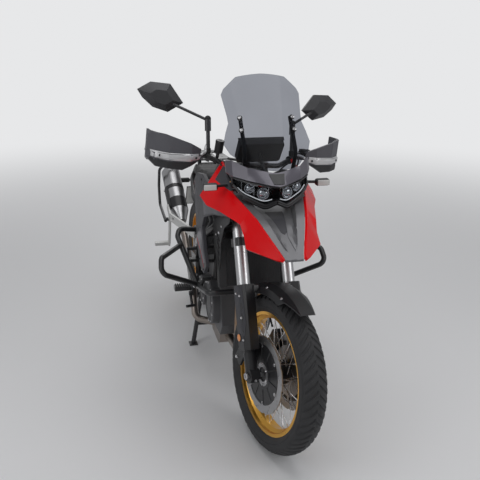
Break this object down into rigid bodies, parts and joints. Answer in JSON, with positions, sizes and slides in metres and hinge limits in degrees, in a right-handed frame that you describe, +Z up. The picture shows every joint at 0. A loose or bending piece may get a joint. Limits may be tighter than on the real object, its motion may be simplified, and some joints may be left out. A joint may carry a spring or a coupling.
{
  "type": "adventure motorcycle",
  "caption": "Adventure motorcycle with wire-spoked wheels, tall screen, beak with side wings, hand guards, crash bars, rear rack and silencer, parked on its centre stand.",
  "frame": {"origin": "centre of the footprint on the ground, half way along the bike and on its middle plane", "axes": "+Z up, +Y towards the tail along the longest extent, +X to the rider's left"},
  "size_m": [0.9388, 2.1527, 1.4951],
  "materials": {
    "tyre": "matte",
    "rim_gold": "anodised gloss",
    "hub_black": "satin",
    "spoke_steel": "polished",
    "disc_steel": "brushed",
    "caliper_black": "satin",
    "fork_aluminium": "turned",
    "slider_chrome": "satin",
    "black_steel": "satin",
    "frame_steel": "satin",
    "engine_alloy": "cast satin",
    "header_steel": "heat-tinted",
    "silencer_steel": "brushed",
    "body_grey": "satin metallic",
    "wing_red": "gloss",
    "beak_silver": "satin metallic",
    "trim_black": "fine grain",
    "lens_clear": "clear",
    "screen_smoke": "light smoke",
    "seat_vinyl": "grained",
    "alloy_white": "satin",
    "rubber_black": "matte",
    "chain_steel": "oiled",
    "lamp_red": "clear red",
    "plate_white": "satin"
  },
  "bodies": {
    "frame": {"beak": "beak_silver", "crash_bars": "black_steel", "drive_chain": "chain_steel", "engine": "engine_alloy", "exhaust_pipes": "header_steel", "foot_levers": "black_steel", "front_signals": "trim_black", "fuel_tank": "body_grey", "headlight": "trim_black", "headlight_cover": "lens_clear", "instrument_display": "trim_black", "luggage_rails": "black_steel", "main_frame": "frame_steel", "nose_cowl": "body_grey", "number_plate": "plate_white", "pillion_pegs": "alloy_white", "pillion_seat": "seat_vinyl", "plate_holder": "trim_black", "radiator": "black_steel", "rear_axle": "fork_aluminium", "rear_rack": "black_steel", "rear_signals": "trim_black", "rear_subframe": "frame_steel", "rider_pegs": "alloy_white", "rider_seat": "seat_vinyl", "screen_bracket": "black_steel", "shock_absorber": "black_steel", "side_panels": "body_grey", "silencer": "silencer_steel", "stand_brackets": "frame_steel", "swingarm": "frame_steel", "tail_lamp": "lamp_red", "tail_panels": "body_grey", "windscreen": "screen_smoke", "wings": "wing_red"},
    "steering": {"fork_clamps": "black_steel", "fork_sliders": "slider_chrome", "fork_tubes": "fork_aluminium", "front_axle": "fork_aluminium", "front_calipers": "caliper_black", "front_mudguard": "trim_black", "grips": "rubber_black", "hand_controls": "black_steel", "handguards": "body_grey", "handlebar": "black_steel", "mirrors": "trim_black"},
    "front_wheel": {"front_tyre": "tyre", "front_rim": "rim_gold", "front_hub": "hub_black", "front_spokes": "spoke_steel", "front_brake_discs": "disc_steel"},
    "rear_wheel": {"rear_tyre": "tyre", "rear_rim": "rim_gold", "rear_hub": "hub_black", "rear_spokes": "spoke_steel", "rear_brake_disc": "disc_steel", "rear_sprocket": "chain_steel"},
    "centre_stand": {"centre_stand": "black_steel"},
    "side_stand": {"side_stand": "black_steel"}
  },
  "joints": [
    {"name": "steering", "type": "hinge", "parent": "frame", "child": "steering", "pos_m": [0, -0.859, -0.0009], "axis": [0, 0.4305, 0.9026], "range_deg": [-48.8, 21.2]},
    {"name": "front_wheel_spin", "type": "hinge", "parent": "steering", "child": "front_wheel", "pos_m": [0.01053, -0.74985, 0.32755], "axis": [0.9711, 0.2153, -0.1027], "continuous": true},
    {"name": "rear_wheel_spin", "type": "hinge", "parent": "frame", "child": "rear_wheel", "pos_m": [0, 0.759, 0.3441], "axis": [1, 0, 0], "continuous": true},
    {"name": "centre_stand_pivot", "type": "hinge", "parent": "frame", "child": "centre_stand", "pos_m": [0, 0.234, 0.2841], "axis": [1, 0, 0], "range_deg": [0, 88]},
    {"name": "side_stand_pivot", "type": "hinge", "parent": "frame", "child": "side_stand", "pos_m": [0.17325, -0.031, 0.2671], "axis": [-1, 0, 0], "range_deg": [0, 97]}
  ]
}
